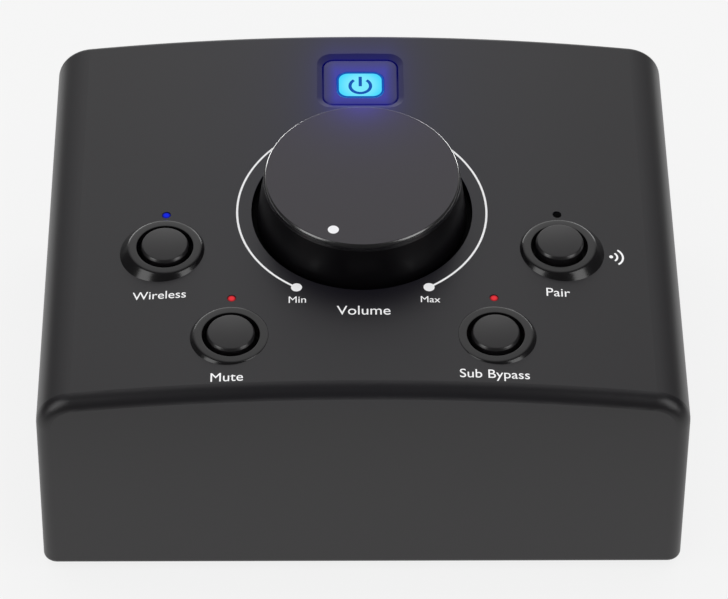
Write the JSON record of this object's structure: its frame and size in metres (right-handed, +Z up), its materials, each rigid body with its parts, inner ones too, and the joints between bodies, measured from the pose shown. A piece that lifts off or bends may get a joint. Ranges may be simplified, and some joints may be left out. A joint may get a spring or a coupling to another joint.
{
  "type": "studio monitor controller",
  "caption": "Desktop studio monitor controller: sloped arched case, large volume knob, round latching buttons with indicators, lit power button and rear jacks.",
  "frame": {"origin": "centre of the footprint, on the surface the feet stand on", "axes": "+X to the user's right, +Y away from the user, +Z up"},
  "size_m": [0.1412, 0.1096, 0.0717],
  "materials": {
    "case_plastic": "satin black moulded case",
    "knob_gloss": "glossy black knob skirt",
    "knob_top": "satin black anodised disc with a bright bevel",
    "pointer_white": "white pointer dot",
    "button_plastic": "satin black button caps",
    "collar_gloss": "semi-gloss black collars",
    "power_frame": "satin black power button",
    "power_lens": "translucent window lit cyan blue",
    "light_guide": "white light guide",
    "blue_light": "blue lit indicator",
    "red_light": "red lit indicator",
    "dark_light": "unlit smoked indicator",
    "sheet_steel": "black powder-coated plate",
    "rubber": "black rubber feet",
    "screw_steel": "zinc-plated screws",
    "brass": "machined brass",
    "nickel": "nickel-plated nuts and washers",
    "spring_steel": "spring steel",
    "jack_plastic": "black connector body",
    "board": "green circuit board",
    "chip": "black component body",
    "switch_plastic": "dark grey switch housing",
    "plunger_plastic": "natural plastic plunger",
    "capacitor": "dark blue sleeve",
    "cable": "grey flat cable",
    "track": "carbon track"
  },
  "bodies": {
    "case": {"upper_shell": "case_plastic", "base_plate": "sheet_steel", "rear_panel": "sheet_steel", "rubber_feet": "rubber", "case_screws": "screw_steel", "control_board": "board", "main_board": "board", "board_screws": "screw_steel", "board_standoffs": "brass", "button_collars": "collar_gloss", "button_switches": "switch_plastic", "status_lights": "light_guide", "wireless_light_pipe": "blue_light", "pair_light_pipe": "dark_light", "output_light_pipes": "red_light", "pot_housing": "switch_plastic", "pot_bushing": "brass", "pot_washer": "nickel", "pot_nut": "nickel", "pot_track": "track", "power_spring": "spring_steel", "line_input_jacks": "jack_plastic", "main_output_jacks": "jack_plastic", "subwoofer_jack": "jack_plastic", "mini_jacks": "jack_plastic", "jack_contacts": "brass", "jack_washers": "nickel", "jack_nuts": "nickel", "power_inlet": "jack_plastic", "power_inlet_pin": "nickel", "board_headers": "chip", "ribbon_cable": "cable", "capacitors": "capacitor", "amplifier_chips": "chip", "mute_relays": "chip", "wireless_module": "board", "wireless_shield": "nickel", "wireless_spring": "spring_steel", "pair_spring": "spring_steel", "mute_spring": "spring_steel", "sub_bypass_spring": "spring_steel"},
    "volume_knob": {"knob_skirt": "knob_gloss", "knob_cap": "knob_top", "knob_pointer": "pointer_white", "pot_shaft": "screw_steel", "pot_wiper": "chip"},
    "wireless_button": {"wireless_button_cap": "button_plastic", "wireless_plunger": "plunger_plastic"},
    "pair_button": {"pair_button_cap": "button_plastic", "pair_plunger": "plunger_plastic"},
    "mute_button": {"mute_button_cap": "button_plastic", "mute_plunger": "plunger_plastic"},
    "sub_bypass_button": {"sub_bypass_button_cap": "button_plastic", "sub_bypass_plunger": "plunger_plastic"},
    "power_push": {"power_button": "power_frame", "power_lens": "power_lens", "power_light_guide": "light_guide", "power_plunger": "plunger_plastic"}
  },
  "joints": [
    {"name": "volume_turn", "type": "hinge", "parent": "case", "child": "volume_knob", "pos_m": [0, -0.00114, 0.05915], "axis": [0, -0.0872, 0.9962], "range_deg": [-300, 0]},
    {"name": "wireless_press", "type": "slide", "parent": "case", "child": "wireless_button", "axis": [0, -0.0872, 0.9962], "range_m": [-0.00055, 0.00085], "stiffness_N_per_m": 220, "deforming": ["wireless_spring"]},
    {"name": "pair_press", "type": "slide", "parent": "case", "child": "pair_button", "axis": [0, -0.0872, 0.9962], "range_m": [-0.0014, 0], "stiffness_N_per_m": 220, "springref_m": 0.0015, "deforming": ["pair_spring"]},
    {"name": "mute_press", "type": "slide", "parent": "case", "child": "mute_button", "axis": [0, -0.0872, 0.9962], "range_m": [-0.00055, 0.00085], "stiffness_N_per_m": 220, "deforming": ["mute_spring"]},
    {"name": "sub_bypass_press", "type": "slide", "parent": "case", "child": "sub_bypass_button", "axis": [0, -0.0872, 0.9962], "range_m": [-0.00055, 0.00085], "stiffness_N_per_m": 220, "deforming": ["sub_bypass_spring"]},
    {"name": "power_press", "type": "slide", "parent": "case", "child": "power_push", "axis": [0, -0.0872, 0.9962], "range_m": [-0.0014, 0], "stiffness_N_per_m": 220, "springref_m": 0.0015, "deforming": ["power_spring"]}
  ]
}
